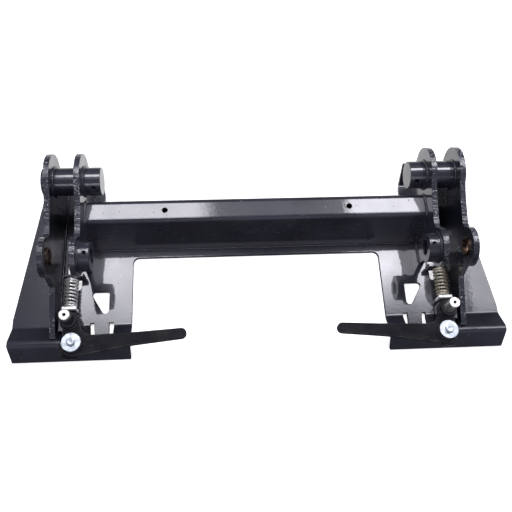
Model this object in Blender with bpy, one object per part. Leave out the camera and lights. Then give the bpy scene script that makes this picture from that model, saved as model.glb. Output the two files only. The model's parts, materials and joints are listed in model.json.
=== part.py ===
"""Quick coupler: the quick-attach frame between a loader's arms and its attachments.

It lies on its attachment face. X runs across the machine, Y from the lower lip to the upper
flange, and Z from the attachment side to the loader side. Lengths below are in millimetres.
"""
import math

import bmesh
import bpy
from mathutils import Matrix, Vector

MM = 0.001
FRAME_Y = 10.2                  # puts the middle of the part over the origin
GAP = 0.3                       # clearance between pieces that touch
SIDES = (("left", -1), ("right", 1))

# Front plate, a folded sheet
PLATE_T = 9.0
PLATE_HALF_WIDTH = 561.0
LIP_HALF_WIDTH = 555.0
EDGE_TAPER_START_Y = -145.0
EDGE_TAPER = 0.156              # inward run of the side edge per mm of height
WINDOW_HALF_WIDTH = 294.0
WINDOW_TOP_Y = -1.0
WINDOW_CORNER_R = 14.0
STRIP_BACK_Y = 128.0
FLANGE_INNER_X = 366.0
FLANGE_INNER_TOP_X = 378.0
LIP_BOTTOM = (-240.5, 3.1)      # middle of the sheet, as (y, z)
LIP_RIDGE = (-209.3, 35.9)
LIP_BEND = (-166.5, 4.5)
FLANGE_BEND = (179.9, 4.5)
FLANGE_TOP = (220.2, 44.8)
RIDGE_R, BEND_R, FLANGE_R = 9.5, 16.0, 14.0

TRIANGLE = [(346.5, -83.5), (391.0, -83.5), (346.5, -158.0)]
TRIANGLE_RADII = [5.0, 7.0, 8.0]
SPRING_WINDOW = (411.0, 446.0, -78.0, -10.0)
SPRING_WINDOW_R = 6.0
RELIEF = [(332.3, -197.0), (382.0, -197.0), (389.0, -158.0), (333.8, -158.0)]
RELIEF_R = 3.9
TONGUE = [(345.0, -152.0), (379.0, -152.0), (376.5, -187.0), (345.0, -187.0)]
TONGUE_RADII = [0.0, 0.0, 3.0, 3.0]

# Cross channel
CHANNEL_T = 8.0
CHANNEL_R = 9.0
CHANNEL_FOOT_FRONT = (22.4, 9.3)
CHANNEL_TOP_FRONT = (45.2, 114.0)
CHANNEL_TOP_BACK = (94.0, 114.0)
CHANNEL_FOOT_BACK = (114.0, 9.3)
DRAIN_X, DRAIN_R = 211.0, 6.5

# Ears
EAR_T = 12.5
INNER_EAR_X = 390.0             # inboard face of the inner ear
OUTER_EAR_X = 455.5             # inboard face of the outer ear
TILT_YZ, TILT_LOBE_R = (139.0, 132.0), 63.0
LIFT_YZ, LIFT_LOBE_R = (-50.0, 146.0), 44.0
TILT_BAR_R = 32.0
TILT_BAR_IN_X, TILT_BAR_OUT_X = 351.0, 481.0
TILT_GREASE_X, TILT_GREASE_R, TILT_GREASE_ELEV = 366.0, 5.5, 35.0
BOSS_R, BOSS_IN_X = 32.5, 363.0
PIN_BORE_R = 16.5
BUSH_R = 21.0
BOSS_GREASE_X, BOSS_GREASE_R, BOSS_GREASE_ELEV = 373.5, 4.7, 83.0

# Lever and its pivot
PIVOT_X, PIVOT_Y = 422.0, -167.0
PIVOT_PIN_R, PIVOT_TOP_Z = 12.0, 112.0
PIVOT_GREASE_R, PIVOT_GREASE_DEPTH = 3.8, 45.0
LEVER_Z0, LEVER_Z1 = 49.0, 60.0
COLLAR_R, COLLAR_TOP_Z = 17.0, 74.0
LEFT_SLEEVE_R, LEFT_SLEEVE_TOP_Z = 14.0, 104.0
CRANK_IN, CRANK_DOWN = 9.5, 51.0    # crank bolt, inboard of and below the pivot
BOLT_R = 6.0
SPACER_R, SPACER_TOP_Z = 20.0, 74.0
WASHER_R, WASHER_TOP_Z = 21.0, 77.0
BOLT_HEAD_R, BOLT_HEAD_TOP_Z = 9.2, 85.0

# Wedge, its bracket and its spring
WEDGE_X, WEDGE_W = 430.0, 30.0
WEDGE_Z0, WEDGE_Z1 = 12.0, 31.0
WEDGE_TIP_Y, WEDGE_END_Y = -241.0, -134.0
WEDGE_SHOULDER_Y = -223.0       # the tip slopes with the lip from here to its toe
WEDGE_SIDE_GAP = 1.2            # running clearance on each side of the wedge
WEDGE_OPENING_END_Y = -163.0
NECK = (417.0, 437.0, -222.0, -208.0)   # its upper end stops short of the bracket when drawn up
HEAD_Z0, HEAD_Z1 = 41.0, 47.4
HEAD_REACH = (49.0, 27.0, 15.0, 12.5)   # from the crank: inboard, outboard, down and up
SLOT_REACH = (42.2, 6.6, 10.4, 8.0)
SLOT_FLOOR_Z = 42.2
BRACKET_Z1, BRACKET_TOP_T, BRACKET_LEG_T = 40.0, 7.0, 5.0
BRACKET_Y0, BRACKET_Y1 = -183.0, -146.5
ROD_Z, ROD_R, ROD_END_Y = 26.2, 5.0, -24.0
SEAT_W, SEAT_T, SEAT_Z0, SEAT_Z1 = 31.0, 7.0, 10.6, 42.0
SPRING_R, SPRING_WIRE_R, SPRING_TURNS = 13.5, 2.5, 8.5
SPRING_CLOSED_GAP = 0.25        # between the closed end turns
GUIDE_OUT_X = 446.0
GUIDE_Y0, GUIDE_Y1 = -56.0, -50.0
GUIDE_Z0, GUIDE_Z1 = 10.6, 42.0


# ---------------------------------------------------------------- outlines

def arc(centre, radius, start_deg, end_deg, steps):
    """Points on an arc, in plane coordinates, both ends included."""
    points = []
    for i in range(steps + 1):
        a = math.radians(start_deg + (end_deg - start_deg) * i / steps)
        points.append((centre[0] + radius * math.cos(a), centre[1] + radius * math.sin(a)))
    return points


def round_corners(points, radii, steps=5, closed=True):
    """Replace each corner by an arc that is tangent to both of its sides."""
    result = []
    count = len(points)
    for i, (point, radius) in enumerate(zip(points, radii)):
        if radius <= 0 or (not closed and i in (0, count - 1)):
            result.append(tuple(point))
            continue
        corner = Vector(point)
        before = (Vector(points[i - 1]) - corner).normalized()
        after = (Vector(points[(i + 1) % count]) - corner).normalized()
        half = before.angle(after) / 2
        middle = corner + (before + after).normalized() * (radius / math.sin(half))
        start = corner + before * (radius / math.tan(half)) - middle
        turn = (corner + after * (radius / math.tan(half)) - middle).angle_signed(start)
        for k in range(steps + 1):
            rotated = start.copy()
            rotated.rotate(Matrix.Rotation(turn * k / steps, 2))
            result.append(tuple(middle + rotated))
    return result


def sheet_outline(middle_line, thickness):
    """Closed outline of a folded sheet from the line along its middle."""
    normals = []
    for i in range(len(middle_line)):
        a = Vector(middle_line[max(i - 1, 0)])
        b = Vector(middle_line[min(i + 1, len(middle_line) - 1)])
        direction = (b - a).normalized()
        normals.append(Vector((-direction.y, direction.x)))
    upper = [Vector(p) + n * thickness / 2 for p, n in zip(middle_line, normals)]
    lower = [Vector(p) - n * thickness / 2 for p, n in zip(middle_line, normals)]
    return [tuple(p) for p in upper] + [tuple(p) for p in reversed(lower)]


# ---------------------------------------------------------------- solids

def to_xyz(axis, across, along):
    """Plane point plus a distance along an axis: X takes (y, z), Y (x, z) and Z (x, y)."""
    if axis == "X":
        return (along * MM, across[0] * MM, across[1] * MM)
    if axis == "Y":
        return (across[0] * MM, along * MM, across[1] * MM)
    return (across[0] * MM, across[1] * MM, along * MM)


def add_prism(bm, axis, outline, low, high, chamfer=0.0):
    """Extrude a closed outline along an axis, with chamfered end edges if asked."""
    rings = [(low, 0.0), (high, 0.0)]
    if chamfer > 0:
        rings = [(low, chamfer), (low + chamfer, 0.0), (high - chamfer, 0.0), (high, chamfer)]
    count = len(outline)
    inset = inset_outline(outline, chamfer) if chamfer > 0 else outline
    loops = []
    for along, amount in rings:
        source = inset if amount > 0 else outline
        loops.append([bm.verts.new(to_xyz(axis, p, along)) for p in source])
    faces = [bm.faces.new(loops[0]), bm.faces.new(loops[-1])]
    for a, b in zip(loops, loops[1:]):
        for i in range(count):
            j = (i + 1) % count
            faces.append(bm.faces.new((a[i], a[j], b[j], b[i])))
    bmesh.ops.recalc_face_normals(bm, faces=faces)


def inset_outline(outline, amount):
    """Move every point of a closed outline inwards by the same distance."""
    area = sum(a[0] * b[1] - b[0] * a[1] for a, b in zip(outline, outline[1:] + outline[:1]))
    sign = 1.0 if area > 0 else -1.0
    result = []
    for i, point in enumerate(outline):
        before = Vector(point) - Vector(outline[i - 1])
        after = Vector(outline[(i + 1) % len(outline)]) - Vector(point)
        n1 = Vector((-before.y, before.x)).normalized() * sign
        n2 = Vector((-after.y, after.x)).normalized() * sign
        bisector = (n1 + n2).normalized()
        reach = amount / max(bisector.dot(n1), 0.5)
        result.append(tuple(Vector(point) + bisector * reach))
    return result


def circle(centre, radius, steps=40):
    """Closed circle outline."""
    return arc(centre, radius, 0, 360, steps)[:-1]


def rectangle(x0, x1, y0, y1):
    """Closed rectangle outline."""
    return [(x0, y0), (x1, y0), (x1, y1), (x0, y1)]


def add_ring(bm, axis, centre, outer_r, inner_r, low, high, steps=40, chamfer=0.0):
    """Closed tube round an axis, with chamfered outer end edges."""
    profile = [(inner_r, low), (outer_r - chamfer, low), (outer_r, low + chamfer),
               (outer_r, high - chamfer), (outer_r - chamfer, high), (inner_r, high)]
    if chamfer == 0:
        profile = [(inner_r, low), (outer_r, low), (outer_r, high), (inner_r, high)]
    loops = []
    for radius, along in profile:
        loops.append([bm.verts.new(to_xyz(axis, p, along)) for p in circle(centre, radius, steps)])
    faces = []
    for a, b in zip(loops, loops[1:] + loops[:1]):
        for i in range(steps):
            j = (i + 1) % steps
            faces.append(bm.faces.new((a[i], a[j], b[j], b[i])))
    bmesh.ops.recalc_face_normals(bm, faces=faces)


def add_slanted_cylinder(bm, start, direction, radius, length, steps=24):
    """Solid cylinder from a start point along any direction."""
    turn = Vector((0, 0, 1)).rotation_difference(Vector(direction)).to_matrix().to_4x4()
    place = Matrix.Translation(Vector(start) * MM) @ turn
    place = place @ Matrix.Translation((0, 0, length * MM / 2))
    bmesh.ops.create_cone(bm, cap_ends=True, segments=steps, radius1=radius * MM,
                          radius2=radius * MM, depth=length * MM, matrix=place)


# ---------------------------------------------------------------- objects and materials

def make_material(name, colour, roughness, metallic):
    """Principled material."""
    material = bpy.data.materials.new(name)
    material.use_nodes = True
    shader = material.node_tree.nodes["Principled BSDF"]
    shader.inputs["Base Color"].default_value = (*colour, 1.0)
    shader.inputs["Roughness"].default_value = roughness
    shader.inputs["Metallic"].default_value = metallic
    return material


def finish(bm, name, finish_name, parent=None):
    """Turn a bmesh in the part's frame into an object, under a parent empty if given."""
    origin = parent.location.copy() if parent else Vector((0, 0, 0))
    bmesh.ops.translate(bm, verts=bm.verts, vec=-origin)
    mesh = bpy.data.meshes.new(name)
    bm.to_mesh(mesh)
    bm.free()
    mesh.shade_smooth()
    mesh.set_sharp_from_angle(angle=math.radians(30))
    obj = bpy.data.objects.new(name, mesh)
    bpy.context.collection.objects.link(obj)
    obj.parent = parent or bpy.data.objects["coupler_frame"]
    if finish_name:
        obj.data.materials.append(make_material(name, *FINISHES[finish_name]))
    return obj


def add_boolean(target, bm, operation, name):
    """Cut from, or join to, a target the bodies in a bmesh, with a hidden tool object."""
    tool = finish(bm, name, None)
    tool.hide_render = True
    tool.display_type = "WIRE"
    modifier = target.modifiers.new(name, "BOOLEAN")
    modifier.operation = operation
    modifier.solver = "EXACT"
    modifier.object = tool


def make_axis(name, x, y, z, parent=None):
    """Empty on a joint's axis, for the moving pieces to hang from."""
    axis = bpy.data.objects.new(name, None)
    axis.location = (x * MM, y * MM, z * MM)
    axis.parent = parent
    bpy.context.collection.objects.link(axis)
    return axis


def mirror_x(outline, side):
    """Outline in an XY or XZ plane, moved to one side of the machine."""
    return [(side * x, y) for x, y in outline]


def span(side, low, high):
    """The two ends of a stretch of X on one side, in rising order."""
    return tuple(sorted((side * low, side * high)))


FINISHES = {
    "paint": ((0.035, 0.038, 0.05), 0.25, 0.0),
    "lever_paint": ((0.012, 0.012, 0.014), 0.35, 0.0),
    "zinc": ((0.62, 0.64, 0.66), 0.3, 1.0),
    "yellow_zinc": ((0.55, 0.5, 0.36), 0.35, 1.0),
    "bronze": ((0.45, 0.25, 0.13), 0.35, 1.0),
}


# ---------------------------------------------------------------- front plate

def plate_edge_x(y):
    """Half width of the plate at a height."""
    return PLATE_HALF_WIDTH - EDGE_TAPER * max(0.0, y - EDGE_TAPER_START_Y)


def plate_plan():
    """Plan outline of the folded plate, the right half and its mirror image."""
    low, high = LIP_BOTTOM[0] - 20, FLANGE_TOP[0] + 20
    right = [(WINDOW_HALF_WIDTH, low), (LIP_HALF_WIDTH, low), (LIP_HALF_WIDTH, -242.0),
             (PLATE_HALF_WIDTH, -214.0), (PLATE_HALF_WIDTH, EDGE_TAPER_START_Y),
             (plate_edge_x(high), high), (FLANGE_INNER_TOP_X, high),
             (FLANGE_INNER_X, FLANGE_BEND[0] - 15), (FLANGE_INNER_X, STRIP_BACK_Y)]
    radii = [0, 0, 3, 6, 20, 0, 0, 12, 10]
    inner = [(WINDOW_HALF_WIDTH, WINDOW_TOP_Y)]
    inner_radii = [WINDOW_CORNER_R]
    left = [(-x, y) for x, y in reversed(right)]
    outline = right + left + [(-x, y) for x, y in inner] + inner
    return round_corners(outline, radii + radii[::-1] + inner_radii * 2)


def plate_openings(bm):
    """Every opening through the plate: windows, relief slots, spring and wedge openings."""
    half = WEDGE_W / 2 + WEDGE_SIDE_GAP
    shapes = [round_corners(TRIANGLE, TRIANGLE_RADII),
              round_corners(rectangle(*SPRING_WINDOW), [SPRING_WINDOW_R] * 4)]
    wedge_opening = rectangle(WEDGE_X - half, WEDGE_X + half, LIP_BOTTOM[0] - 10, WEDGE_OPENING_END_Y)
    relief = round_corners(RELIEF, [RELIEF_R] * 4)
    for _, side in SIDES:
        for shape in shapes:
            add_prism(bm, "Z", mirror_x(shape, side), -30, 60)
        add_prism(bm, "Z", mirror_x(wedge_opening, side), WEDGE_Z0 - 2.5, 90)
        add_prism(bm, "Z", mirror_x(relief, side), -30, 90)


def make_front_plate():
    """Folded sheet cut to its plan outline, with flat tongues between the relief slots."""
    line = [LIP_BOTTOM, LIP_RIDGE, LIP_BEND, FLANGE_BEND, FLANGE_TOP]
    line = round_corners(line, [0, RIDGE_R, BEND_R, FLANGE_R, 0], steps=6, closed=False)
    bm = bmesh.new()
    reach = PLATE_HALF_WIDTH + 20
    add_prism(bm, "X", sheet_outline(line, PLATE_T), -reach, reach)
    plate = finish(bm, "front_plate", "paint")
    bm = bmesh.new()
    add_prism(bm, "Z", plate_plan(), -40, 120)
    add_boolean(plate, bm, "INTERSECT", "plate_plan_guide")
    bm = bmesh.new()
    plate_openings(bm)
    add_boolean(plate, bm, "DIFFERENCE", "plate_openings_cutter")
    bm = bmesh.new()
    for _, side in SIDES:
        tongue = mirror_x(round_corners(TONGUE, TONGUE_RADII), side)
        add_prism(bm, "Z", tongue, 0.1, PLATE_T - 0.1)
    add_boolean(plate, bm, "UNION", "plate_tongues_guide")


# ---------------------------------------------------------------- cross channel

def make_cross_channel():
    """Pressed channel, open towards the plate, with a drain hole near each end."""
    line = [CHANNEL_FOOT_FRONT, CHANNEL_TOP_FRONT, CHANNEL_TOP_BACK, CHANNEL_FOOT_BACK]
    line = round_corners(line, [0, CHANNEL_R, CHANNEL_R, 0], steps=6, closed=False)
    outline = sheet_outline(line, CHANNEL_T)
    foot = PLATE_T + GAP
    outline = [(y, max(z, foot)) for y, z in outline]
    bm = bmesh.new()
    reach = INNER_EAR_X - GAP
    add_prism(bm, "X", outline, -reach, reach)
    channel = finish(bm, "cross_channel", "paint")
    bm = bmesh.new()
    middle_y = (CHANNEL_TOP_FRONT[0] + CHANNEL_TOP_BACK[0]) / 2
    for _, side in SIDES:
        add_prism(bm, "Z", circle((side * DRAIN_X, middle_y), DRAIN_R, 24), 90, 130)
    add_boolean(channel, bm, "DIFFERENCE", "channel_drain_cutter")


# ---------------------------------------------------------------- ears, bars and bosses

def ear_outline(lower_edge):
    """Ear side view in (y, z): upper lobe, saddle, lower lobe, then the given lower edge."""
    upper = arc(TILT_YZ, TILT_LOBE_R, -5, 136, 16)
    saddle = [(80.0, 169.5), (60.0, 162.5), (20.0, 152.5), (4.0, 150.0), (-8.0, 154.5)]
    lower = arc(LIFT_YZ, LIFT_LOBE_R, 28, 222, 18)
    base = PLATE_T + GAP
    foot = [(162.0, base), (174.0, 22.0)]
    return upper + saddle + lower + lower_edge + foot


def outer_lower_edge():
    """Lower edge of the outer ear: the tail that runs down to the lip ridge."""
    return [(-88.0, 92.0), (-93.0, 77.0), (-104.0, 70.0), (-194.0, 42.5), (-199.5, 40.0),
            (-199.5, 35.4), (-172.0, 15.2), (-158.0, PLATE_T + GAP + 0.3)]


def inner_lower_edge():
    """Lower edge of the inner ear, which stops above the spring."""
    return [(-72.0, 105.0), (-45.0, 60.0), (-35.0, PLATE_T + GAP)]


def make_ear(name, side, inboard_x, lower_edge):
    """One profile-cut ear plate with its two bores."""
    bm = bmesh.new()
    low, high = span(side, inboard_x, inboard_x + EAR_T)
    add_prism(bm, "X", ear_outline(lower_edge), low, high)
    ear = finish(bm, name, "paint")
    bm = bmesh.new()
    low, high = span(side, inboard_x - 5, inboard_x + EAR_T + 5)
    add_prism(bm, "X", circle(TILT_YZ, TILT_BAR_R + GAP, 40), low, high)
    add_prism(bm, "X", circle(LIFT_YZ, BUSH_R + GAP, 32), low, high)
    add_boolean(ear, bm, "DIFFERENCE", name + "_bore_cutter")


def radial_hole(bm, side, x, centre, elevation, radius, bar_radius, depth):
    """Grease hole into a round bar, seen from the lip side at an angle above the plate."""
    a = math.radians(elevation)
    outward = Vector((0, -math.cos(a), math.sin(a)))
    start = Vector((side * x, centre[0], centre[1])) + outward * (bar_radius - depth)
    add_slanted_cylinder(bm, start, outward, radius, depth + 6)


def make_tilt_stub(name, side):
    """Solid bar welded through both upper lobes, with a grease hole."""
    bm = bmesh.new()
    low, high = span(side, TILT_BAR_IN_X, TILT_BAR_OUT_X)
    add_prism(bm, "X", circle(TILT_YZ, TILT_BAR_R, 40), low, high, chamfer=1.0)
    bar = finish(bm, name, "paint")
    bm = bmesh.new()
    radial_hole(bm, side, TILT_GREASE_X, TILT_YZ, TILT_GREASE_ELEV, TILT_GREASE_R, TILT_BAR_R, 14)
    add_boolean(bar, bm, "DIFFERENCE", name + "_grease_cutter")


def make_lift_boss(name, side):
    """Round boss on the inboard face of the inner ear, with a cross hole for the pin's bolt."""
    bm = bmesh.new()
    low, high = span(side, BOSS_IN_X, INNER_EAR_X - GAP)
    add_ring(bm, "X", LIFT_YZ, BOSS_R, PIN_BORE_R, low, high, 40, chamfer=1.0)
    boss = finish(bm, name, "paint")
    bm = bmesh.new()
    radial_hole(bm, side, BOSS_GREASE_X, LIFT_YZ, BOSS_GREASE_ELEV, BOSS_GREASE_R, BOSS_R, 24)
    add_boolean(boss, bm, "DIFFERENCE", name + "_cross_hole_cutter")


def make_bush(name, side, low_x, high_x):
    """Pin bush in one ear's lower bore."""
    bm = bmesh.new()
    low, high = span(side, low_x, high_x)
    add_ring(bm, "X", LIFT_YZ, BUSH_R, PIN_BORE_R, low, high, 32)
    finish(bm, name, "bronze")


# ---------------------------------------------------------------- lever group

def lever_outline():
    """Right-hand lever in plan, relative to its pivot: x outboard, y towards the flange."""
    lug = arc((0, 0), 22.0, -50, 165, 16)
    inner_edge = [(-22.5, -5.0), (-27.0, -20.0), (-35.0, -28.5), (-50.0, -31.5), (-150.0, -28.0)]
    tip = arc((-243.0, -34.5), 12.0, 92, 266, 10)
    lower_edge = [(-140.0, -57.0), (-44.0, -73.0)]
    hub = arc((-CRANK_IN, -CRANK_DOWN), 25.5, -110, 20, 12)
    return lug + inner_edge + tip + lower_edge + hub


def make_lever(name, side, axis):
    """Flat bar handle with a pivot lug, a collar and a crank hole; the left one has a tall sleeve."""
    pivot = (side * PIVOT_X, PIVOT_Y)
    crank = (side * (PIVOT_X - CRANK_IN), PIVOT_Y - CRANK_DOWN)
    outline = [(side * (PIVOT_X + x), PIVOT_Y + y) for x, y in lever_outline()]
    bm = bmesh.new()
    add_prism(bm, "Z", outline, LEVER_Z0, LEVER_Z1, chamfer=1.2)
    lever = finish(bm, name, "lever_paint", axis)
    bm = bmesh.new()
    add_prism(bm, "Z", circle(pivot, COLLAR_R, 40), LEVER_Z1 - 1, COLLAR_TOP_Z)
    add_boolean(lever, bm, "UNION", name + "_collar_guide")
    if side < 0:
        bm = bmesh.new()
        add_prism(bm, "Z", circle(pivot, LEFT_SLEEVE_R, 40), COLLAR_TOP_Z - 1, LEFT_SLEEVE_TOP_Z)
        add_boolean(lever, bm, "UNION", name + "_sleeve_guide")
    bm = bmesh.new()
    add_prism(bm, "Z", circle(pivot, PIVOT_PIN_R + GAP, 40), LEVER_Z0 - 10, PIVOT_TOP_Z + 10)
    add_prism(bm, "Z", circle(crank, BOLT_R + GAP, 24), LEVER_Z0 - 10, LEVER_Z1 + 10)
    add_boolean(lever, bm, "DIFFERENCE", name + "_bore_cutter")


def make_crank_bolt(hand, side, axis):
    """Bolt, spacer and large washer that join the lever to the wedge."""
    crank = (side * (PIVOT_X - CRANK_IN), PIVOT_Y - CRANK_DOWN)
    bm = bmesh.new()
    add_ring(bm, "Z", crank, SPACER_R, BOLT_R + GAP, LEVER_Z1 + GAP, SPACER_TOP_Z, 36)
    finish(bm, "crank_spacer_" + hand, "zinc", axis)
    bm = bmesh.new()
    add_ring(bm, "Z", crank, WASHER_R, BOLT_R + GAP, SPACER_TOP_Z + GAP, WASHER_TOP_Z, 36, chamfer=0.6)
    finish(bm, "crank_washer_" + hand, "zinc", axis)
    bm = bmesh.new()
    head_z = WASHER_TOP_Z + GAP
    add_prism(bm, "Z", circle(crank, BOLT_R, 24), SLOT_FLOOR_Z + 0.4, head_z + 1)
    bolt = finish(bm, "crank_bolt_" + hand, "zinc", axis)
    bm = bmesh.new()
    add_prism(bm, "Z", circle(crank, BOLT_HEAD_R, 6), head_z, BOLT_HEAD_TOP_Z - 1.5, chamfer=0.8)
    add_boolean(bolt, bm, "UNION", "crank_bolt_head_guide_" + hand)


def make_pivot_pin(name, side):
    """Tall pivot pin, drilled down its axis for grease."""
    bm = bmesh.new()
    pivot = (side * PIVOT_X, PIVOT_Y)
    add_prism(bm, "Z", circle(pivot, PIVOT_PIN_R, 40), BRACKET_Z1 + GAP, PIVOT_TOP_Z, chamfer=1.0)
    pin = finish(bm, name, "zinc")
    bm = bmesh.new()
    bottom = PIVOT_TOP_Z - PIVOT_GREASE_DEPTH
    add_prism(bm, "Z", circle(pivot, PIVOT_GREASE_R, 20), bottom, PIVOT_TOP_Z + 5)
    add_boolean(pin, bm, "DIFFERENCE", name + "_grease_cutter")


# ---------------------------------------------------------------- wedge group

def around_crank(reach):
    """Rectangle round the crank bolt on the right side, from its reach each way."""
    inboard, outboard, down, up = reach
    crank_x, crank_y = PIVOT_X - CRANK_IN, PIVOT_Y - CRANK_DOWN
    return rectangle(crank_x - inboard, crank_x + outboard, crank_y - down, crank_y + up)


def make_wedge(name, side, axis):
    """Tapered locking bar with a neck and a slotted cross-head for the crank bolt."""
    x0, x1 = span(side, WEDGE_X - WEDGE_W / 2, WEDGE_X + WEDGE_W / 2)
    bar = [(WEDGE_END_Y, WEDGE_Z0), (WEDGE_END_Y, WEDGE_Z1), (WEDGE_SHOULDER_Y, WEDGE_Z1),
           (WEDGE_TIP_Y, WEDGE_Z0)]
    bm = bmesh.new()
    add_prism(bm, "X", bar, x0, x1, chamfer=1.0)
    wedge = finish(bm, name, "lever_paint", axis)
    head, slot = around_crank(HEAD_REACH), around_crank(SLOT_REACH)
    bm = bmesh.new()
    neck = mirror_x(rectangle(*NECK), side)
    add_prism(bm, "Z", neck, WEDGE_Z1 - 1, HEAD_Z0 + 1)
    add_boolean(wedge, bm, "UNION", name + "_neck_guide")
    bm = bmesh.new()
    add_prism(bm, "Z", mirror_x(round_corners(head, [5] * 4), side), HEAD_Z0, HEAD_Z1, chamfer=0.6)
    add_boolean(wedge, bm, "UNION", name + "_head_guide")
    bm = bmesh.new()
    add_prism(bm, "Z", mirror_x(round_corners(slot, [BOLT_R] * 4), side), SLOT_FLOOR_Z, HEAD_Z1 + 5)
    add_boolean(wedge, bm, "DIFFERENCE", name + "_slot_cutter")


def make_wedge_bracket(name, side):
    """Bridge over the wedge: it guides the wedge and carries the pivot pin."""
    inner = WEDGE_W / 2 + WEDGE_SIDE_GAP
    base = PLATE_T + GAP + 0.2
    leg = [(BRACKET_Y1, base), (-158.0, base), (BRACKET_Y0, 24.0), (BRACKET_Y0, BRACKET_Z1),
           (BRACKET_Y1, BRACKET_Z1)]
    x0, x1 = span(side, WEDGE_X - inner - BRACKET_LEG_T, WEDGE_X + inner + BRACKET_LEG_T)
    bm = bmesh.new()
    add_prism(bm, "X", leg, x0, x1, chamfer=1.0)
    bracket = finish(bm, name, "paint")
    x0, x1 = span(side, WEDGE_X - inner, WEDGE_X + inner)
    bm = bmesh.new()
    add_prism(bm, "X", rectangle(-200, -130, 0, BRACKET_Z1 - BRACKET_TOP_T), x0, x1)
    add_boolean(bracket, bm, "DIFFERENCE", name + "_channel_cutter")


def make_spring(name, side, axis):
    """Compression spring round the rod, with closed and flattened end turns."""
    y0, y1 = WEDGE_END_Y + SEAT_T + 2 * GAP, GUIDE_Y0 - GAP
    start, end = y0 + SPRING_WIRE_R, y1 - SPRING_WIRE_R
    steps_per_turn, ring_points = 14, 6
    total = int(SPRING_TURNS * steps_per_turn)
    pitch = 2 * SPRING_WIRE_R + SPRING_CLOSED_GAP
    bm = bmesh.new()
    rings = []
    for i in range(total + 1):
        turn = i / steps_per_turn
        body = SPRING_TURNS - 2
        if turn <= 1:
            along = turn * pitch
        elif turn >= SPRING_TURNS - 1:
            along = (end - start) - (SPRING_TURNS - turn) * pitch
        else:
            along = pitch + (turn - 1) / body * ((end - start) - 2 * pitch)
        angle = 2 * math.pi * turn
        radial = Vector((math.cos(angle), 0, math.sin(angle)))
        centre = Vector((side * WEDGE_X, start + along, ROD_Z)) + radial * SPRING_R
        ring = []
        for k in range(ring_points):
            a = 2 * math.pi * k / ring_points
            offset = radial * math.cos(a) * SPRING_WIRE_R + Vector((0, 1, 0)) * math.sin(a) * SPRING_WIRE_R
            ring.append(bm.verts.new((centre + offset) * MM))
        rings.append(ring)
    for a, b in zip(rings, rings[1:]):
        for k in range(ring_points):
            m = (k + 1) % ring_points
            bm.faces.new((a[k], a[m], b[m], b[k]))
    bm.faces.new(rings[0])
    bm.faces.new(rings[-1])
    bmesh.ops.recalc_face_normals(bm, faces=bm.faces)
    finish(bm, name, "yellow_zinc", axis)


def make_spring_group(hand, side, axis):
    """Rod in line with the wedge, its seat plate, the spring and the fixed guide lug on the inner ear."""
    rod = (side * WEDGE_X, ROD_Z)
    y0, y1 = WEDGE_END_Y + GAP, WEDGE_END_Y + GAP + SEAT_T
    seat = rectangle(WEDGE_X - SEAT_W / 2, WEDGE_X + SEAT_W / 2, SEAT_Z0, SEAT_Z1)
    bm = bmesh.new()
    add_prism(bm, "Y", mirror_x(seat, side), y0, y1, chamfer=0.8)
    block = finish(bm, "spring_seat_" + hand, "zinc", axis)
    bm = bmesh.new()
    add_prism(bm, "Y", circle(rod, ROD_R + GAP, 24), y0 - 10, y1 + 10)
    add_boolean(block, bm, "DIFFERENCE", "spring_seat_cutter_" + hand)
    bm = bmesh.new()
    add_prism(bm, "Y", circle(rod, ROD_R, 24), y0, ROD_END_Y, chamfer=0.8)
    finish(bm, "spring_rod_" + hand, "zinc", axis)
    make_spring("spring_" + hand, side, axis)
    bm = bmesh.new()
    x0 = INNER_EAR_X + EAR_T + GAP
    guide = mirror_x(rectangle(x0, GUIDE_OUT_X, GUIDE_Z0, GUIDE_Z1), side)
    add_prism(bm, "Y", guide, GUIDE_Y0, GUIDE_Y1, chamfer=0.8)
    plate = finish(bm, "spring_guide_" + hand, "paint")
    bm = bmesh.new()
    add_prism(bm, "Y", circle(rod, ROD_R + 2 * GAP, 24), GUIDE_Y0 - 10, GUIDE_Y1 + 10)
    add_boolean(plate, bm, "DIFFERENCE", "spring_guide_cutter_" + hand)


# ---------------------------------------------------------------- assembly

def main():
    """Clear the scene and build every piece."""
    for obj in list(bpy.data.objects):
        bpy.data.objects.remove(obj, do_unlink=True)
    frame = make_axis("coupler_frame", 0, FRAME_Y, 0)
    make_front_plate()
    make_cross_channel()
    for hand, side in SIDES:
        lever_axis = make_axis("lever_axis_" + hand, side * PIVOT_X, PIVOT_Y, LEVER_Z0, frame)
        wedge_axis = make_axis("wedge_axis_" + hand, side * WEDGE_X, WEDGE_END_Y, WEDGE_Z0, frame)
        make_ear("ear_inner_" + hand, side, INNER_EAR_X, inner_lower_edge())
        make_ear("ear_outer_" + hand, side, OUTER_EAR_X, outer_lower_edge())
        make_tilt_stub("tilt_stub_" + hand, side)
        make_lift_boss("lift_boss_" + hand, side)
        make_bush("bush_inner_" + hand, side, INNER_EAR_X, INNER_EAR_X + EAR_T + 2)
        make_bush("bush_outer_" + hand, side, OUTER_EAR_X - 3, OUTER_EAR_X + EAR_T)
        make_wedge_bracket("wedge_bracket_" + hand, side)
        make_pivot_pin("pivot_pin_" + hand, side)
        make_lever("lever_" + hand, side, lever_axis)
        make_crank_bolt(hand, side, lever_axis)
        make_wedge("wedge_" + hand, side, wedge_axis)
        make_spring_group(hand, side, wedge_axis)


main()
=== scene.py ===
import json
import math
import random

import bmesh
import bpy
from mathutils import Matrix, Vector, noise


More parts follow.
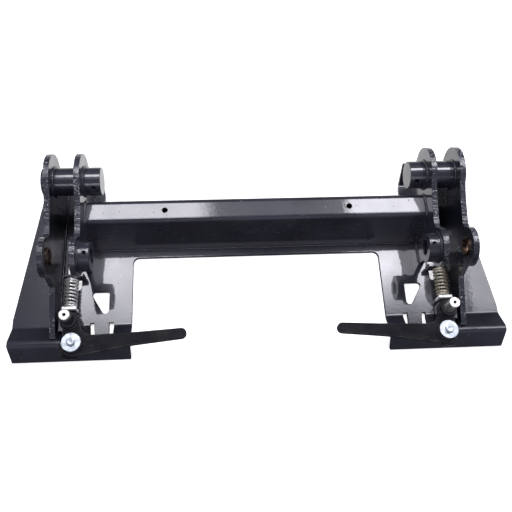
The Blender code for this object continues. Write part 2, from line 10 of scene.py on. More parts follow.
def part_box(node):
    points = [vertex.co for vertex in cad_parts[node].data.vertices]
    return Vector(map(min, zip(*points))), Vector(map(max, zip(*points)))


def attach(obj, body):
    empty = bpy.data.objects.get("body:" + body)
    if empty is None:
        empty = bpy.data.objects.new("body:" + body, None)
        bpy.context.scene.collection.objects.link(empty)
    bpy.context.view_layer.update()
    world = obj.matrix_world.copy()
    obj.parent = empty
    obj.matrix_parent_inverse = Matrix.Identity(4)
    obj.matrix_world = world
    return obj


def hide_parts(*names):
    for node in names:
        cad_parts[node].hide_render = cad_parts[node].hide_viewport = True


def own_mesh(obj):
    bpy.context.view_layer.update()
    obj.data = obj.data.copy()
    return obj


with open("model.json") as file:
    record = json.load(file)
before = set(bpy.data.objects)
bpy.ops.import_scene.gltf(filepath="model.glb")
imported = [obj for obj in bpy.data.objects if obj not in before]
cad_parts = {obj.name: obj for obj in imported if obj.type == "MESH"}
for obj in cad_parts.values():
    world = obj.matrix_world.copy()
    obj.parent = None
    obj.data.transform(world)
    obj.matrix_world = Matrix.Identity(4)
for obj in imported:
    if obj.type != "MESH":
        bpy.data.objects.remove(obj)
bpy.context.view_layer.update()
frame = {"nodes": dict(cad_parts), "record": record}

SIDES = (("left", -1), ("right", 1))

# Camera, with angles in degrees. The target is a point on the floor, measured from x = 0,
# y = CAMERA_CENTRE_Y, and the yaw turns target and camera about that point.
CAMERA_ELEVATION, CAMERA_YAW, CAMERA_ROLL = 68.0, 8.9, 6.7
CAMERA_DISTANCE = 1.5272
CAMERA_TARGET = (-0.0021, -0.0014)
CAMERA_CENTRE_Y = 0.0102
CAMERA_LENS_MM, SENSOR_MM = 44.5, 36.0

# Studio. Each softbox has a name, a place, an aim, its width and height, the shares of it that
# fade out at each side, at the near end and at the far end, and a radiance.
SOFTBOXES = (
    ("key_left", (-0.53, 0.59, 1.90), (-0.53, 0.59, 0.0), (0.90, 0.94), (0.16, 0.58, 0.06), 11.8),
    ("key_right", (0.94, 0.68, 1.90), (0.94, 0.68, 0.0), (0.72, 0.76), (0.09, 0.52, 0.07), 15.0),
    ("key_bridge", (0.25, 0.73, 1.92), (0.25, 0.73, 0.0), (1.30, 0.66), (0.10, 0.50, 0.10), 1.1),
    ("wing_right", (1.42, 0.82, 1.90), (1.42, 0.82, 0.0), (0.60, 1.16), (0.25, 0.22, 0.22), 6.0),
    ("front_strip", (0.0, -1.55, 1.55), (0.0, 0.1, 0.1), (2.6, 0.30), (0.20, 0.45, 0.45), 6.0),
    ("side_left", (-2.3, -0.3, 1.5), (0.0, 0.0, 0.0), (0.6, 1.2), (0.4, 0.4, 0.4), 4.0),
    ("side_right", (2.3, 0.2, 1.3), (0.0, 0.0, 0.0), (0.8, 1.2), (0.4, 0.4, 0.4), 5.0),
)
LIGHT_COLOUR = (0.98, 0.97, 1.05)
ROOM_DARK = (0.020, 0.021, 0.024)
ROOM_ABOVE = (0.27, 0.28, 0.38)
ROOM_FLOOR = (1.0, 1.0, 1.03)
ROOM_FILL = (0.72, 0.72, 0.75)
BACKDROP = (0.93, 0.93, 0.935)
FLOOR_R, FLOOR_DROP = 9.0, 0.0006
FLOOR_GLOW = 0.60

# In reflections the pale floor shows in directions that point down and further back than
# FLOOR_FROM_Y. The rises say how fast each part of the room comes in.
FLOOR_FROM_Y = 0.37
BACK_RISE, DOWN_RISE, OVERHEAD_RISE = 12.0, 3.0, 2.0

# Paint
NOISE_ROUGHNESS = 0.55
PAINT_DARK = (0.0098, 0.0104, 0.0150)
PAINT_LIGHT = (0.0165, 0.0178, 0.0262)
# Lighter paint on rubbed edges, which also serves as a painted edge highlight
RUBBED_PAINT_AND_EDGE_HIGHLIGHT = (0.20, 0.205, 0.22)
SCRATCHED_PAINT = (0.13, 0.135, 0.15)
NICKED_PAINT = (0.30, 0.31, 0.34)
# Pale flecks on cut rims: bare spots and painted glints together
CUT_FLECK_AND_GLINT = (0.62, 0.63, 0.66)
SATIN_DARK = (0.0085, 0.0085, 0.0100)
SATIN_LIGHT = (0.0180, 0.0182, 0.0210)
SCUFFED_SATIN = (0.11, 0.11, 0.115)
# Lighter satin on the edges: wear, and a painted edge highlight as well
WORN_SATIN_AND_EDGE_HIGHLIGHT = (0.30, 0.305, 0.33)

# Weld beads: rippled rods, with lumps and a wandering line
BEAD_R, FILLET_R = 0.0034, 0.0030
BRACKET_FILLET, GUIDE_FILLET = 0.9, 0.7      # shares of the fillet's radius
BEAD_STEP, BEAD_SIDES = 0.0011, 8
RIPPLE_PITCH = 0.0042
RIPPLE_BASE, RIPPLE_RISE, RIPPLE_POWER = 0.86, 0.20, 0.7
LUMP_SHARE, LUMPS_PER_METRE = 0.18, 110.0
WANDER_SHARE, WANDERS_PER_METRE, WANDER_SHIFT = 0.22, 60.0, Vector((7, 3, 1))
BEAD_END, BEAD_END_RUN = 0.35, 1.4           # share of the size at a bead's end, and its run in radii
RING_STEPS = 72
STUB_RING_OUT = 0.0006                       # off the ear, and out from the bar
BOSS_RING_BACK, BOSS_RING_OUT = 0.0008, 0.0004
FOOT_WELD_INSET = 0.01                       # at the channel's ends
BRACKET_WELD_START = 0.027                   # from the bracket's lower end
GUIDE_WELD_INSET = 0.002                     # at the guide's top and bottom
FOOT_BAND, TIP_BAND, END_BAND = 0.0007, 0.0002, 0.001   # how near a vertex is to count as there

# Weld spatter: number of drops, how far out they lie, and their radii
SPATTER_SEED = 11
CHANNEL_DROPS, CHANNEL_DROP_X, CHANNEL_DROP_R = 26, (0.20, 0.375), (0.0006, 0.0015)
CHANNEL_DROP_INSET = 0.034
WING_DROPS, WING_DROP_X, WING_DROP_R = 40, (0.31, 0.54), (0.0006, 0.0013)
WING_DROP_Y = (-0.12, 0.0)
WING_DROP_SINK = 0.0003
DROP_TURN, DROP_WIDTH, DROP_HEIGHT = (0, 3), (0.6, 1.0), (0.4, 0.6)
DROP_LUMP_SHARE, DROP_LUMPS_PER_METRE = 0.25, 900.0

# Springs
SPRING_TURNS = 8.5
SPRING_WIRE_R = 0.0025
SPRING_COIL_R = 0.0135
SPRING_CLOSED_GAP = 0.00025                  # between the closed end turns
SPRING_STEPS, SPRING_SIDES = 36, 12          # along one turn, and round the wire

# Bolts. Each ring of the head has its share of the width, the dish's depth there, and whether
# it is a hexagon.
BOLT_STEPS = 96
BOLT_SHANK_R = 0.0058
BOLT_HEAD_RINGS = (
    (0.0, 0.0005, False), (0.45, 0.0004, False), (0.62, 0.0, False), (0.84, 0.0, False),
    (0.93, 0.0, True), (1.0, 0.0, True),
)
BOLT_CHAMFER_FROM, BOLT_CHAMFER_SLOPE = 0.92, math.tan(math.radians(30))


# ---------------------------------------------------------------- meshes

def link_mesh(name, bm, material, smooth_angle=40.0):
    """Put a bmesh into the scene under a name, with one material."""
    mesh = bpy.data.meshes.new(name)
    bmesh.ops.recalc_face_normals(bm, faces=bm.faces)
    bm.to_mesh(mesh)
    bm.free()
    mesh.shade_smooth()
    mesh.set_sharp_from_angle(angle=math.radians(smooth_angle))
    mesh.materials.append(material)
    piece = bpy.data.objects.new(name, mesh)
    bpy.context.scene.collection.objects.link(piece)
    return piece


def skin(bm, rings, closed=False):
    """Faces between each ring of vertices and the next, and from the last to the first if closed."""
    following = rings[1:] + (rings[:1] if closed else [])
    for a, b in zip(rings, following):
        for k in range(len(a)):
            m = (k + 1) % len(a)
            bm.faces.new((a[k], a[m], b[m], b[k]))


def convex_hull(points):
    """Convex outline of points in a plane, in order."""
    points = sorted(set(points))

    def half(ordered):
        chain = []
        for p in ordered:
            while len(chain) > 1:
                (ax, ay), (bx, by) = chain[-2], chain[-1]
                if (bx - ax) * (p[1] - ay) - (by - ay) * (p[0] - ax) > 0:
                    break
                chain.pop()
            chain.append(p)
        return chain[:-1]

    return half(points) + half(points[::-1])


# ---------------------------------------------------------------- nodes

def add_node(tree, kind, **settings):
    """New node in a tree, with its settings."""
    made = tree.nodes.new(kind)
    for key, value in settings.items():
        setattr(made, key, value)
    return made


def calc(tree, operation, a, b, clamp=False):
    """Result of arithmetic on two values, each a number or an output."""
    made = add_node(tree, "ShaderNodeMath", operation=operation, use_clamp=clamp)
    for socket, value in zip(made.inputs, (a, b)):
        if isinstance(value, float):
            socket.default_value = value
        else:
            tree.links.new(value, socket)
    return made.outputs["Value"]


def blend(tree, factor, a, b):
    """Mix of two colours, each a tuple or an output."""
    made = add_node(tree, "ShaderNodeMix", data_type="RGBA")
    tree.links.new(factor, made.inputs["Factor"])
    colour_inputs = [s for s in made.inputs if s.type == "RGBA"]
    for socket, value in zip(colour_inputs, (a, b)):
        if isinstance(value, tuple):
            socket.default_value = (*value, 1.0)
        else:
            tree.links.new(value, socket)
    return next(s for s in made.outputs if s.type == "RGBA")


def map_range(tree, value, source, target, smooth=False):
    """Map a stretch of values onto another, with the ends held."""
    made = add_node(tree, "ShaderNodeMapRange", clamp=True)
    if smooth:
        made.interpolation_type = "SMOOTHSTEP"
    for key, number in zip(("From Min", "From Max", "To Min", "To Max"), (*source, *target)):
        made.inputs[key].default_value = number
    tree.links.new(value, made.inputs["Value"])
    return made.outputs["Result"]


# ---------------------------------------------------------------- materials

class Paint:
    """One node material, and shorthand for building it."""

    def __init__(self, name, roughness, metallic=0.0, coat=0.0, coat_roughness=0.05):
        self.material = bpy.data.materials.new(name)
        self.material.use_nodes = True
        self.tree = self.material.node_tree
        self.shader = self.tree.nodes["Principled BSDF"]
        self.shader.inputs["Roughness"].default_value = roughness
        self.shader.inputs["Metallic"].default_value = metallic
        self.shader.inputs["Coat Weight"].default_value = coat
        self.shader.inputs["Coat Roughness"].default_value = coat_roughness
        self.place = self.node("ShaderNodeTexCoord").outputs["Object"]

    def node(self, kind, **settings):
        return add_node(self.tree, kind, **settings)

    def link(self, source, target):
        self.tree.links.new(source, target)

    def set(self, socket, value):
        self.link(value, self.shader.inputs[socket])

    def noise(self, scale, detail, stretch=(1, 1, 1)):
        """Noise on the piece's own coordinates, drawn out where stretch is small."""
        mapping = self.node("ShaderNodeMapping")
        mapping.inputs["Scale"].default_value = stretch
        self.link(self.place, mapping.inputs["Vector"])
        made = self.node("ShaderNodeTexNoise")
        made.inputs["Scale"].default_value = scale
        made.inputs["Detail"].default_value = detail
        made.inputs["Roughness"].default_value = NOISE_ROUGHNESS
        self.link(mapping.outputs["Vector"], made.inputs["Vector"])
        return made.outputs["Fac"]

    def ranged(self, value, low, high, to_low=0.0, to_high=1.0):
        return map_range(self.tree, value, (low, high), (to_low, to_high))

    def times(self, a, b):
        return calc(self.tree, "MULTIPLY", a, b)

    def mix(self, factor, a, b):
        return blend(self.tree, factor, a, b)

    def rounded(self, radius):
        """Normals rounded over the edges, as a rolled or painted edge is."""
        bevel = self.node("ShaderNodeBevel", samples=4)
        bevel.inputs["Radius"].default_value = radius
        return bevel.outputs["Normal"]

    def edges(self, radius):
        """1 on the edges of the piece and 0 on its flats."""
        geometry = self.node("ShaderNodeNewGeometry")
        dot = self.node("ShaderNodeVectorMath", operation="DOT_PRODUCT")
        self.link(self.rounded(radius), dot.inputs[0])
        self.link(geometry.outputs["Normal"], dot.inputs[1])
        return self.ranged(dot.outputs["Value"], 0.97, 0.80)

    def rim(self):
        """1 on the rim of an upright plate that faces sideways, and 0 on its two faces."""
        geometry = self.node("ShaderNodeNewGeometry")
        split = self.node("ShaderNodeSeparateXYZ")
        self.link(geometry.outputs["True Normal"], split.inputs["Vector"])
        sideways = self.node("ShaderNodeMath", operation="ABSOLUTE")
        self.link(split.outputs["X"], sideways.inputs[0])
        return self.ranged(sideways.outputs["Value"], 0.7, 0.3)

    def bump(self, height, strength, distance, normal=None):
        made = self.node("ShaderNodeBump")
        made.inputs["Strength"].default_value = strength
        made.inputs["Distance"].default_value = distance
        self.link(height, made.inputs["Height"])
        if normal is not None:
            self.link(normal, made.inputs["Normal"])
        return made.outputs["Normal"]


def gloss_paint(name, cut_edges=False, bumpy=0.0):
    """Charcoal enamel: cloudy gloss, orange peel, rubbed edges that carry a painted edge highlight,
    fine scratches and nicks.

    cut_edges adds the drag lines of flame cutting on a plate's rim, and bright flecks there that are
    partly bare spots and partly painted glints; bumpy roughens the whole surface.
    """
    p = Paint(name, 0.2, coat=1.0, coat_roughness=0.09 if cut_edges else 0.025)
    p.shader.inputs["Specular IOR Level"].default_value = 0.30
    cloud = p.ranged(p.noise(7.0, 4.0), 0.35, 0.65)
    colour = p.mix(cloud, PAINT_DARK, PAINT_LIGHT)
    # Rubbed edges: real wear, lightened further as a painted edge highlight
    rub_and_edge_highlight = p.times(p.edges(0.0016), p.ranged(p.noise(55.0, 4.0), 0.50, 0.66))
    colour = p.mix(p.times(rub_and_edge_highlight, 0.6), colour, RUBBED_PAINT_AND_EDGE_HIGHLIGHT)
    scratch = p.ranged(p.noise(38.0, 2.0, stretch=(1, 14, 3)), 0.70, 0.76)
    colour = p.mix(p.times(scratch, 0.30), colour, SCRATCHED_PAINT)
    nick = p.times(p.ranged(p.noise(240.0, 2.0, stretch=(1, 0.4, 1)), 0.715, 0.735),
                   p.ranged(p.noise(21.0, 2.0), 0.52, 0.58))
    colour = p.mix(p.times(nick, 0.55), colour, NICKED_PAINT)
    normal = p.bump(p.noise(120.0, 2.0), 0.10, 0.0006, p.rounded(0.0014))
    if cut_edges:
        on_rim = p.rim()
        drag = p.times(p.noise(190.0, 4.0, stretch=(0.22, 1, 1)), on_rim)
        normal = p.bump(drag, 0.9, 0.0014, normal)
        # Pale flecks on the cut rim: bare spots, and painted glints as well
        fleck_and_glint = p.times(p.ranged(p.noise(300.0, 3.0), 0.58, 0.67), on_rim)
        fleck_and_glint = p.times(fleck_and_glint, p.ranged(p.noise(30.0, 2.0), 0.48, 0.60))
        colour = p.mix(p.times(fleck_and_glint, 0.75), colour, CUT_FLECK_AND_GLINT)
    if bumpy > 0:
        normal = p.bump(p.noise(230.0, 3.0), bumpy, 0.0016, normal)
    p.set("Base Color", colour)
    p.set("Roughness", p.ranged(p.noise(16.0, 5.0), 0.3, 0.7, 0.22, 0.42))
    p.set("Coat Normal", normal)
    p.set("Normal", normal)
    return p.material


def lever_paint():
    """Satin black on the handles and wedges, scuffed along the flats and lighter at the edges from
    wear, with a painted edge highlight there as well.
    """
    p = Paint("lever_paint_look", 0.38, coat=0.02, coat_roughness=0.12)
    p.shader.inputs["Specular IOR Level"].default_value = 0.02
    cloud = p.ranged(p.noise(22.0, 5.0), 0.35, 0.70)
    colour = p.mix(cloud, SATIN_DARK, SATIN_LIGHT)
    scuff = p.times(p.ranged(p.noise(70.0, 4.0, stretch=(1, 5, 1)), 0.60, 0.74),
                    p.ranged(p.noise(12.0, 2.0), 0.48, 0.60))
    colour = p.mix(p.times(scuff, 0.55), colour, SCUFFED_SATIN)
    # Lighter edges: wear, and a painted edge highlight as well
    worn_and_edge_highlight = p.times(p.edges(0.0014), p.ranged(p.noise(45.0, 4.0), 0.36, 0.60))
    colour = p.mix(p.times(worn_and_edge_highlight, 0.75), colour, WORN_SATIN_AND_EDGE_HIGHLIGHT)
    p.set("Base Color", colour)
    p.set("Roughness", p.ranged(p.noise(26.0, 5.0), 0.3, 0.7, 0.24, 0.50))
    p.set("Normal", p.bump(p.noise(300.0, 3.0), 0.14, 0.0005, p.rounded(0.0010)))
    return p.material


def plated(name, bright, dull, roughness, metallic=1.0):
    """Plated or bare steel: cloudy, over a fine grain."""
    p = Paint(name, roughness, metallic=metallic)
    cloud = p.ranged(p.noise(60.0, 5.0), 0.35, 0.68)
    p.set("Base Color", p.mix(cloud, bright, dull))
    p.set("Roughness", p.ranged(p.noise(120.0, 4.0), 0.3, 0.7, roughness - 0.09, roughness + 0.12))
    p.set("Normal", p.bump(p.noise(420.0, 3.0), 0.10, 0.0003, p.rounded(0.0006)))
    return p.material


def bush_metal():
    """Bronze bush with oil staining."""
    p = Paint("bronze_look", 0.34, metallic=1.0)
    stain = p.ranged(p.noise(75.0, 5.0), 0.40, 0.62)
    p.set("Base Color", p.mix(stain, (0.20, 0.135, 0.09), (0.030, 0.021, 0.017)))
    p.set("Roughness", p.ranged(p.noise(90.0, 3.0), 0.3, 0.7, 0.24, 0.46))
    p.set("Normal", p.bump(p.noise(500.0, 2.0, stretch=(6, 1, 1)), 0.08, 0.0003))
    return p.material


def floor_material():
    """Pale matt studio floor with a faint cloud, which glows a little."""
    p = Paint("floor_look", 0.85)
    p.set("Base Color", p.mix(p.noise(3.0, 2.0), (0.86, 0.86, 0.865), (0.90, 0.90, 0.90)))
    p.shader.inputs["Emission Color"].default_value = (1.0, 1.0, 1.0, 1.0)
    p.shader.inputs["Emission Strength"].default_value = FLOOR_GLOW
    return p.material


LOOKS = {
    "paint": gloss_paint("paint_look"),
    "ear": gloss_paint("ear_paint_look", cut_edges=True),
    "weld": gloss_paint("weld_paint_look", bumpy=0.55),
    "lever_paint": lever_paint(),
    "zinc": plated("zinc_look", (0.53, 0.57, 0.585), (0.42, 0.46, 0.475), 0.42),
    "rod": plated("rod_look", (0.06, 0.055, 0.05), (0.03, 0.028, 0.028), 0.50),
    "pin": plated("pin_look", (0.74, 0.71, 0.67), (0.55, 0.525, 0.49), 0.40, metallic=0.94),
    "seat": plated("seat_look", (0.94, 0.94, 0.93), (0.82, 0.82, 0.80), 0.36, metallic=0.30),
    "yellow_zinc": plated("spring_gold_look", (0.93, 0.87, 0.69), (0.66, 0.60, 0.44),
                          0.28, metallic=0.74),
    "silver_zinc": plated("spring_silver_look", (0.96, 0.95, 0.93), (0.66, 0.65, 0.63),
                          0.24, metallic=0.72),
    "bronze": bush_metal(),
}
LOOKS_BY_NAME = {"ear_": "ear", "spring_rod_": "rod", "spring_seat_": "seat", "pivot_pin_": "pin"}
SPRING_LOOKS = {"left": "silver_zinc", "right": "yellow_zinc"}


def dress_nodes():
    """Give every CAD node the look of its material slot, or the one that its name calls for."""
    slots = {s["node"]: s["material_slot"] for s in frame["record"]["subparts"]}
    for name, node in frame["nodes"].items():
        look = slots[name]
        for start, own_look in LOOKS_BY_NAME.items():
            if name.startswith(start):
                look = own_look
        node.data.materials.clear()
        node.data.materials.append(LOOKS[look])


# ---------------------------------------------------------------- welds

def resample(points, step, closed):
    """Points at even steps along a line."""
    points = [Vector(p) for p in points]
    if closed:
        points.append(points[0].copy())
    result, carry = [], 0.0
    for a, b in zip(points, points[1:]):
        length = (b - a).length
        along = carry
        while along < length:
            result.append(a.lerp(b, along / length))
            along += step
        carry = along - length
    if not closed:
        result.append(points[-1])
    return result


def add_bead(bm, points, radius, closed):
    """Weld bead: a rippled rod along a line, whose lower half is sunk in the plates."""
    angles = [2 * math.pi * k / BEAD_SIDES for k in range(BEAD_SIDES)]
    line = resample(points, BEAD_STEP, closed)
    count = len(line)
    rings = []
    for i, point in enumerate(line):
        before = line[i - 1] if (i or closed) else line[0]
        after = line[(i + 1) % count] if (i + 1 < count or closed) else line[-1]
        direction = (after - before).normalized()
        reference = Vector((0, 0, 1)) if abs(direction.z) < 0.9 else Vector((1, 0, 0))
        side = direction.cross(reference).normalized()
        up = side.cross(direction)
        phase = (i * BEAD_STEP / RIPPLE_PITCH) % 1.0
        size = radius * (RIPPLE_BASE + RIPPLE_RISE * math.sin(math.pi * phase) ** RIPPLE_POWER)
        size *= 1.0 + LUMP_SHARE * noise.noise(point * LUMPS_PER_METRE)
        if not closed:
            from_end = min(i, count - 1 - i) * BEAD_STEP
            size *= min(1.0, BEAD_END + from_end / (radius * BEAD_END_RUN))
        drift = noise.noise(point * WANDERS_PER_METRE + WANDER_SHIFT)
        middle = point + side * drift * radius * WANDER_SHARE
        rings.append([bm.verts.new(middle + (side * math.cos(a) + up * math.sin(a)) * size)
                      for a in angles])
    skin(bm, rings, closed)
    if not closed:
        bm.faces.new(rings[0])
        bm.faces.new(rings[-1])


def ring_points(x, centre, radius):
    """Circle round a line along X."""
    angles = [2 * math.pi * i / RING_STEPS for i in range(RING_STEPS)]
    return [(x, centre.y + radius * math.cos(a), centre.z + radius * math.sin(a)) for a in angles]


def painted_weld(name, bm, smooth_angle):
    """Weld metal that is painted over and belongs to the frame."""
    piece = link_mesh(name, bm, LOOKS["weld"], smooth_angle)
    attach(piece, "frame")


def weld_piece(name, beads):
    """Join several beads, each a line, a radius and whether it is closed, in one piece."""
    bm = bmesh.new()
    for points, radius, closed in beads:
        add_bead(bm, points, radius, closed)
    painted_weld(name, bm, smooth_angle=60.0)


def stub_welds(hand, side):
    """Rings where the tilt bar passes through both ears, and round the lift boss."""
    low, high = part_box("tilt_stub_" + hand)
    centre, radius = (low + high) / 2, (high.z - low.z) / 2
    beads = []
    for ear in ("ear_inner_", "ear_outer_"):
        ear_low, ear_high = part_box(ear + hand)
        for x in (ear_low.x - STUB_RING_OUT, ear_high.x + STUB_RING_OUT):
            beads.append((ring_points(x, centre, radius + STUB_RING_OUT), BEAD_R, True))
    boss_low, boss_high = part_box("lift_boss_" + hand)
    boss = (boss_low + boss_high) / 2
    boss_r = (boss_high.z - boss_low.z) / 2
    face = boss_high.x if side > 0 else boss_low.x
    ring = ring_points(face - side * BOSS_RING_BACK, boss, boss_r + BOSS_RING_OUT)
    beads.append((ring, FILLET_R, True))
    weld_piece("weld_bars_" + hand, beads)


def foot_span(ear):
    """Front and back of the stretch where an ear stands on the plate."""
    foot_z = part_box(ear)[0].z
    foot = [v.co.y for v in frame["nodes"][ear].data.vertices if v.co.z < foot_z + FOOT_BAND]
    return min(foot), max(foot)


def ear_welds(hand):
    """Fillets along the feet of both ears, and under the outer ear's tail."""
    foot_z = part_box("ear_inner_" + hand)[0].z
    beads = []
    for ear in ("ear_inner_", "ear_outer_"):
        low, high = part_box(ear + hand)
        front, back = foot_span(ear + hand)
        for x in (low.x, high.x):
            beads.append(([(x, front, foot_z), (x, back, foot_z)], BEAD_R, False))
    outer = "ear_outer_" + hand
    low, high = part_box(outer)
    foot_front = foot_span(outer)[0]
    tail = [v.co for v in frame["nodes"][outer].data.vertices if v.co.y < low.y + TIP_BAND]
    tip = min(tail, key=lambda v: v.z)
    for x in (low.x, high.x):
        beads.append(([(x, tip.y, tip.z), (x, foot_front, foot_z)], BEAD_R, False))
    weld_piece("weld_ears_" + hand, beads)


def channel_welds():
    """Beads over both ends of the channel, from foot to foot, and fillets along its feet."""
    low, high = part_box("cross_channel")
    vertices = [v.co for v in frame["nodes"]["cross_channel"].data.vertices]
    for hand, side in SIDES:
        end = high.x if side > 0 else low.x
        rim = [(round(v.y, 5), round(v.z, 5)) for v in vertices if abs(v.x - end) < END_BAND]
        outline = convex_hull(rim)
        front_foot = min(outline, key=lambda p: (round(p[1], 3), p[0]))
        start = outline.index(front_foot)
        outline = outline[start:] + outline[:start]
        climbs_from_start = outline[1][1] > outline[0][1]
        if not climbs_from_start:
            outline = outline[:1] + outline[:0:-1]
        line = [(end, y, z) for y, z in outline]
        weld_piece("weld_channel_" + hand, [(line, BEAD_R, False)])
    left, right = low.x + FOOT_WELD_INSET, high.x - FOOT_WELD_INSET
    beads = [([(left, y, low.z), (right, y, low.z)], FILLET_R, False) for y in (low.y, high.y)]
    weld_piece("weld_channel_feet", beads)


def bracket_welds(hand, side):
    """Short fillets beside the wedge bracket and the spring guide."""
    low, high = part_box("wedge_bracket_" + hand)
    start = low.y + BRACKET_WELD_START
    beads = [([(x, start, low.z), (x, high.y, low.z)], FILLET_R * BRACKET_FILLET, False)
             for x in (low.x, high.x)]
    low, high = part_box("spring_guide_" + hand)
    x = low.x if side > 0 else high.x
    line = [(x, high.y, low.z + GUIDE_WELD_INSET), (x, high.y, high.z - GUIDE_WELD_INSET)]
    beads.append((line, FILLET_R * GUIDE_FILLET, False))
    weld_piece("weld_bracket_" + hand, beads)


def drop_places(count, across, along, z, radii):
    """Random places on both sides of a level surface, each with a drop's radius."""
    places = []
    for _ in range(count):
        x = random.choice((-1, 1)) * random.uniform(*across)
        y = random.uniform(*along)
        places.append((Vector((x, y, z)), random.uniform(*radii)))
    return places


def spatter():
    """Flattened drops of weld metal, painted over, on the channel's top and the wings."""
    random.seed(SPATTER_SEED)
    low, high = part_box("cross_channel")
    channel_y = (low.y + CHANNEL_DROP_INSET, high.y - CHANNEL_DROP_INSET)
    wing_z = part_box("ear_inner_left")[0].z - WING_DROP_SINK
    places = drop_places(CHANNEL_DROPS, CHANNEL_DROP_X, channel_y, high.z, CHANNEL_DROP_R)
    places += drop_places(WING_DROPS, WING_DROP_X, WING_DROP_Y, wing_z, WING_DROP_R)
    bm = bmesh.new()
    for place, radius in places:
        turn = Matrix.Rotation(random.uniform(*DROP_TURN), 4, "Z")
        width, height = random.uniform(*DROP_WIDTH), random.uniform(*DROP_HEIGHT)
        squeeze = Matrix.Diagonal((1.0, width, height, 1.0))
        made = bmesh.ops.create_icosphere(bm, subdivisions=2, radius=radius,
                                          matrix=Matrix.Translation(place) @ turn @ squeeze)
        for vertex in made["verts"]:
            lump = noise.noise(vertex.co * DROP_LUMPS_PER_METRE)
            vertex.co += Vector((1, 1, 0.5)) * lump * radius * DROP_LUMP_SHARE
    painted_weld("weld_spatter", bm, smooth_angle=80.0)


# ---------------------------------------------------------------- springs and bolts

def make_spring(hand):
    """Finely swept coil with closed, ground end turns, fixed to the frame at one length."""
    low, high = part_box("spring_" + hand)
    centre = (low + high) / 2
    start, end = low.y + SPRING_WIRE_R, high.y - SPRING_WIRE_R
    length = end - start
    pitch = 2 * SPRING_WIRE_R + SPRING_CLOSED_GAP
    bm = bmesh.new()
    rings = []
    for i in range(int(SPRING_TURNS * SPRING_STEPS) + 1):
        turn = i / SPRING_STEPS
        if turn <= 1:
            along = turn * pitch
        elif turn >= SPRING_TURNS - 1:
            along = length - (SPRING_TURNS - turn) * pitch
        else:
            along = pitch + (turn - 1) / (SPRING_TURNS - 2) * (length - 2 * pitch)
        angle = 2 * math.pi * turn
        radial = Vector((math.cos(angle), 0, math.sin(angle)))
        middle = Vector((centre.x, start + along, centre.z)) + radial * SPRING_COIL_R
        ring = []
        for k in range(SPRING_SIDES):
            a = 2 * math.pi * k / SPRING_SIDES
            x = middle.x + radial.x * math.cos(a) * SPRING_WIRE_R
            y = middle.y + math.sin(a) * SPRING_WIRE_R
            z = middle.z + radial.z * math.cos(a) * SPRING_WIRE_R
            ring.append(bm.verts.new((x, min(max(y, low.y), high.y), z)))
        rings.append(ring)
    skin(bm, rings)
    bm.faces.new(rings[0])
    bm.faces.new(rings[-1])
    piece = link_mesh("coil_spring_" + hand, bm, LOOKS[SPRING_LOOKS[hand]], smooth_angle=50.0)
    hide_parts("spring_" + hand)
    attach(piece, "frame")
    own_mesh(piece)


def make_bolt(hand):
    """Hex bolt with a chamfered head and a faint dish in its top."""
    low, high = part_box("crank_bolt_" + hand)
    centre = (low + high) / 2
    head_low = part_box("crank_washer_" + hand)[1].z
    corner_r = (high.x - low.x) / 2
    flat_r = corner_r * math.cos(math.pi / 6)
    angles = [2 * math.pi * i / BOLT_STEPS for i in range(BOLT_STEPS)]
    bm = bmesh.new()

    def to_hexagon(angle):
        """Distance from the middle to the hexagon's side."""
        return flat_r / math.cos((angle + math.pi / 6) % (math.pi / 3) - math.pi / 6)

    def vertex(angle, radius, z):
        return bm.verts.new((centre.x + radius * math.cos(angle),
                             centre.y + radius * math.sin(angle), z))

    rings = []
    for share, dish, hexagonal in BOLT_HEAD_RINGS:
        ring = []
        for angle in angles:
            radius = (to_hexagon(angle) if hexagonal else flat_r) * share
            chamfer = max(0.0, radius - flat_r * BOLT_CHAMFER_FROM) * BOLT_CHAMFER_SLOPE
            ring.append(vertex(angle, radius, high.z - dish - chamfer))
        rings.append(ring)
    rings.append([bm.verts.new((v.co.x, v.co.y, head_low)) for v in rings[-1]])
    for z in (head_low, low.z):
        rings.append([vertex(angle, BOLT_SHANK_R, z) for angle in angles])
    skin(bm, rings)
    bm.faces.new(rings[-1])
    bmesh.ops.remove_doubles(bm, verts=bm.verts, dist=1e-7)
    piece = link_mesh("hex_bolt_" + hand, bm, LOOKS["zinc"], smooth_angle=30.0)
    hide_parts("crank_bolt_" + hand)
    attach(piece, "lever_" + hand + "_group")


# ---------------------------------------------------------------- studio

def make_camera():
    """Camera above the lip side, turned and rolled a little, aimed near the middle of the part."""
    elevation, yaw, roll = (math.radians(a) for a in (CAMERA_ELEVATION, CAMERA_YAW, CAMERA_ROLL))
    turn = Matrix.Rotation(-yaw, 3, "Z")
    place = Vector((CAMERA_TARGET[0], CAMERA_TARGET[1] - CAMERA_DISTANCE * math.cos(elevation),
                    CAMERA_DISTANCE * math.sin(elevation)))
    forward = turn @ Vector((0, math.cos(elevation), -math.sin(elevation)))
    up = turn @ Vector((0, math.sin(elevation), math.cos(elevation)))
    right = turn @ Vector((1, 0, 0))
    across = math.cos(roll) * right + math.sin(roll) * up
    above = -math.sin(roll) * right + math.cos(roll) * up
    matrix = Matrix((across, above, -forward)).transposed().to_4x4()
    matrix.translation = turn @ place + Vector((0, CAMERA_CENTRE_Y, 0))
    camera = bpy.data.objects.new("camera", bpy.data.cameras.new("camera"))
    camera.data.sensor_width = SENSOR_MM
    camera.data.lens = CAMERA_LENS_MM
    camera.matrix_world = matrix
    bpy.context.scene.collection.objects.link(camera)
    bpy.context.scene.camera = camera


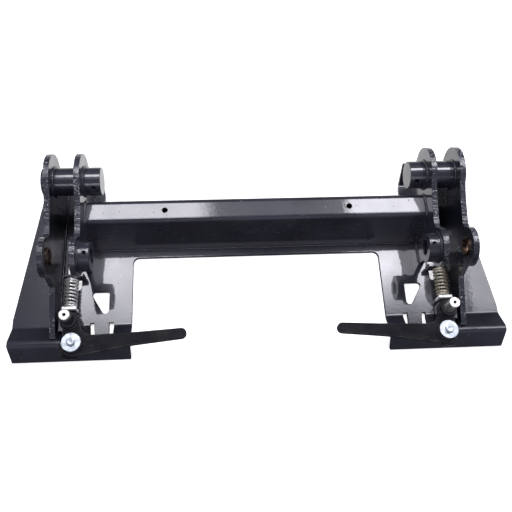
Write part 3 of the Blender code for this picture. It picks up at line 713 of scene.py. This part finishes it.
def softbox(name, place, aim, size, faded, radiance):
    """Rectangular light aimed at a point, which fades out towards its edges."""
    data = bpy.data.lights.new(name, "AREA")
    data.shape = "RECTANGLE"
    data.size, data.size_y = size
    data.energy = radiance * math.pi * size[0] * size[1]
    data.color = LIGHT_COLOUR
    data.use_nodes = True
    tree = data.node_tree
    split = add_node(tree, "ShaderNodeSeparateXYZ")
    spot = add_node(tree, "ShaderNodeNewGeometry").outputs["Parametric"]
    tree.links.new(spot, split.inputs["Vector"])
    across, near, far = faded
    strength = 1.0
    for axis, start, end in (("X", across, across), ("Y", near, far)):
        along = split.outputs[axis]
        rise = map_range(tree, along, (0.0, start), (0.0, 1.0), smooth=True)
        fall = map_range(tree, along, (1.0 - end, 1.0), (1.0, 0.0), smooth=True)
        strength = calc(tree, "MULTIPLY", calc(tree, "MULTIPLY", strength, rise), fall)
    tree.links.new(strength, tree.nodes["Emission"].inputs["Strength"])
    light = bpy.data.objects.new(name, data)
    light.location = place
    direction = Vector(aim) - Vector(place)
    light.rotation_euler = direction.to_track_quat("-Z", "Y").to_euler()
    bpy.context.scene.collection.objects.link(light)


def make_world():
    """Pale backdrop, with a dim room in reflections, apart from the pale floor behind the part."""
    world = bpy.data.worlds.new("studio_world")
    world.use_nodes = True
    tree = world.node_tree
    way = add_node(tree, "ShaderNodeSeparateXYZ")
    generated = add_node(tree, "ShaderNodeTexCoord").outputs["Generated"]
    tree.links.new(generated, way.inputs["Vector"])
    below = calc(tree, "MULTIPLY", way.outputs["Z"], -DOWN_RISE, clamp=True)
    past = calc(tree, "SUBTRACT", way.outputs["Y"], FLOOR_FROM_Y, clamp=True)
    behind = calc(tree, "MULTIPLY", past, BACK_RISE, clamp=True)
    overhead = calc(tree, "MULTIPLY", way.outputs["Z"], OVERHEAD_RISE, clamp=True)
    above = blend(tree, overhead, ROOM_DARK, ROOM_ABOVE)
    on_floor = calc(tree, "MULTIPLY", below, behind, clamp=True)
    room = blend(tree, on_floor, above, ROOM_FLOOR)
    rays = add_node(tree, "ShaderNodeLightPath")
    fill = blend(tree, rays.outputs["Is Diffuse Ray"], room, ROOM_FILL)
    shown = blend(tree, rays.outputs["Is Camera Ray"], fill, BACKDROP)
    tree.links.new(shown, tree.nodes["Background"].inputs["Color"])
    return world


def make_studio():
    """Floor, four softboxes overhead, one in front and one at each side, and the room."""
    bm = bmesh.new()
    bmesh.ops.create_circle(bm, cap_ends=True, segments=96, radius=FLOOR_R,
                            matrix=Matrix.Translation((0, 0, -FLOOR_DROP)))
    floor = link_mesh("studio_floor", bm, floor_material())
    floor.visible_glossy = False
    for box in SOFTBOXES:
        softbox(*box)
    bpy.context.scene.world = make_world()
    bpy.context.scene.view_settings.view_transform = "Standard"


make_camera()
make_studio()
dress_nodes()
channel_welds()
for hand, side in SIDES:
    stub_welds(hand, side)
    ear_welds(hand)
    bracket_welds(hand, side)
    make_spring(hand)
    make_bolt(hand)
spatter()
